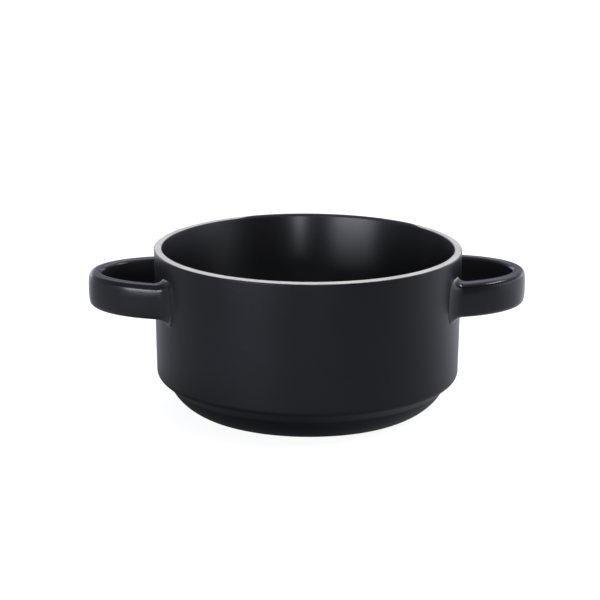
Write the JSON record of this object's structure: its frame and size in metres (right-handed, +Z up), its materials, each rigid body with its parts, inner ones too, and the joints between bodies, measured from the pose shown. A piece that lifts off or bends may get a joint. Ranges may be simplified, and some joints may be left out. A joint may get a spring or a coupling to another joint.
{
  "type": "lug soup bowl",
  "caption": "Stackable straight-sided soup bowl with a loop handle on each side, for serving and heating soup.",
  "frame": {"origin": "centre of the foot ring, on the plane that the bowl stands on", "axes": "+Z up along the bowl's axis, +X towards the right handle, +Y towards the bowl's rear"},
  "size_m": [0.1782, 0.125, 0.066],
  "materials": {
    "stoneware_clay": "bare fired stoneware, matt",
    "joining_slip": "fired slip, matt",
    "inner_black_glaze": "satin black glaze",
    "outer_black_glaze": "satin to matt black glaze",
    "handle_black_glaze": "satin black glaze, a little glossier than the wall",
    "rim_wash": "pale satin wash"
  },
  "bodies": {
    "root": {"bowl_body": "stoneware_clay", "interior_glaze": "inner_black_glaze", "exterior_glaze": "outer_black_glaze", "rim_band": "rim_wash", "base_glaze": "outer_black_glaze", "left_handle": "stoneware_clay", "right_handle": "stoneware_clay", "left_handle_glaze": "handle_black_glaze", "right_handle_glaze": "handle_black_glaze", "left_front_slip_joint": "joining_slip", "left_rear_slip_joint": "joining_slip", "right_front_slip_joint": "joining_slip", "right_rear_slip_joint": "joining_slip"}
  },
  "joints": []
}
